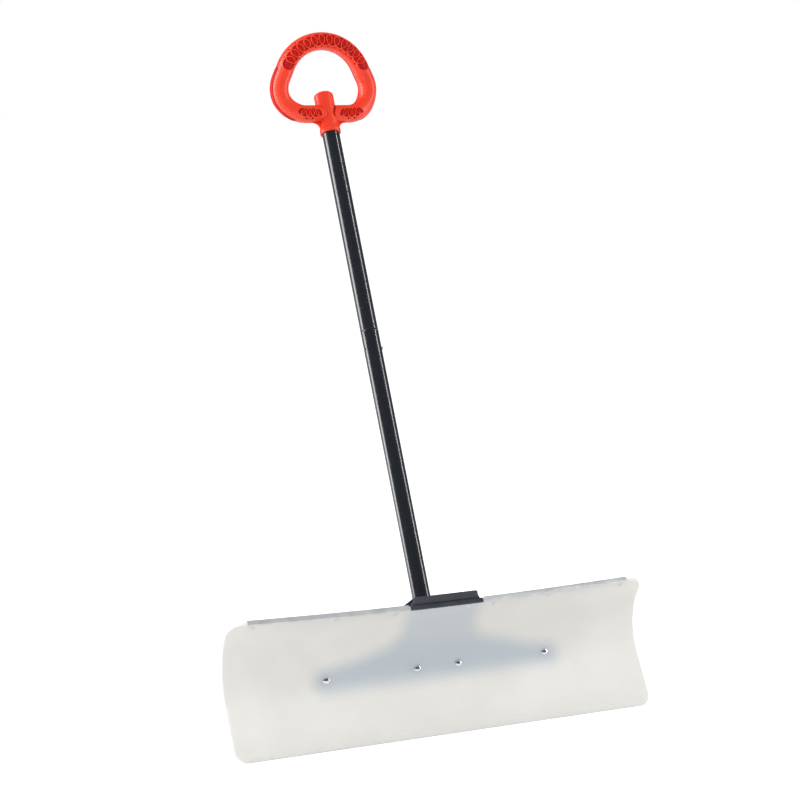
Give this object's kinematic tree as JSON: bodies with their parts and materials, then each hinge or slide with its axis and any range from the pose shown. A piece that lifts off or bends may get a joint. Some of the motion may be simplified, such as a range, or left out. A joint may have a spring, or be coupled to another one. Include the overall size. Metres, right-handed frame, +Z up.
{
  "type": "push-type snow shovel",
  "caption": "Wide curled translucent plastic snow-pushing blade on a two-piece black steel handle with snap buttons and an orange loop grip.",
  "frame": {"origin": "middle of the blade's flat wear edge, which stands on the ground", "axes": "+Z up, +X along the blade, +Y to the rear, the side the handle leans to; the blade's working face looks towards -Y"},
  "size_m": [0.762, 0.5925, 1.1555],
  "materials": {
    "blade_plastic": "translucent white polyethylene sheet, satin",
    "bare_aluminium": "mill-finish extrusion",
    "black_powder_coat": "black powder coat, fine texture, semi-gloss",
    "bright_chrome": "bright plated",
    "zinc_steel": "zinc plated",
    "black_tube_gloss": "gloss blue-black enamel",
    "black_plastic": "moulded, matte",
    "spring_steel": "blued spring steel",
    "orange_plastic": "soft-touch orange, satin",
    "dark_red_plastic": "moulded dark red, satin gloss"
  },
  "bodies": {
    "root": {"blade": "blade_plastic", "top_rail_left": "bare_aluminium", "top_rail_right": "bare_aluminium", "rail_rivets_left": "bare_aluminium", "rail_rivets_right": "bare_aluminium", "bracket_rivets": "bare_aluminium", "bracket_plate": "black_powder_coat", "bracket_edge_cap": "black_powder_coat", "handle_saddle": "black_powder_coat", "side_web_left": "black_powder_coat", "side_web_right": "black_powder_coat", "blade_bolts": "bright_chrome", "blade_bolt_washers": "zinc_steel", "blade_bolt_nuts": "zinc_steel", "saddle_bolts": "zinc_steel", "saddle_nuts": "zinc_steel", "lower_tube": "black_tube_gloss", "lower_tube_plug": "black_plastic"},
    "upper_handle": {"upper_tube": "black_tube_gloss", "snap_spring": "spring_steel", "grip_neck": "orange_plastic", "grip_neck_screw": "zinc_steel", "grip_front_shell": "orange_plastic", "grip_rear_shell": "dark_red_plastic", "grip_crown_insert": "dark_red_plastic", "grip_left_insert": "dark_red_plastic", "grip_right_insert": "dark_red_plastic", "grip_screws": "zinc_steel"},
    "snap_button_left": {"snap_button_left": "zinc_steel"},
    "snap_button_right": {"snap_button_right": "zinc_steel"}
  },
  "joints": [
    {"name": "handle_slide", "type": "slide", "parent": "root", "child": "upper_handle", "axis": [0, 0.4624, 0.8867], "range_m": [0, 0.105], "deforming": ["snap_button_left", "snap_button_right", "snap_spring"]},
    {"name": "snap_button_left_press", "type": "slide", "parent": "upper_handle", "child": "snap_button_left", "axis": [1, 0, 0], "range_m": [0, 0.0056], "stiffness_N_per_m": 2500, "deforming": ["snap_spring"]},
    {"name": "snap_button_right_press", "type": "slide", "parent": "upper_handle", "child": "snap_button_right", "axis": [-1, 0, 0], "range_m": [0, 0.0056], "stiffness_N_per_m": 2500, "deforming": ["snap_spring"]}
  ]
}
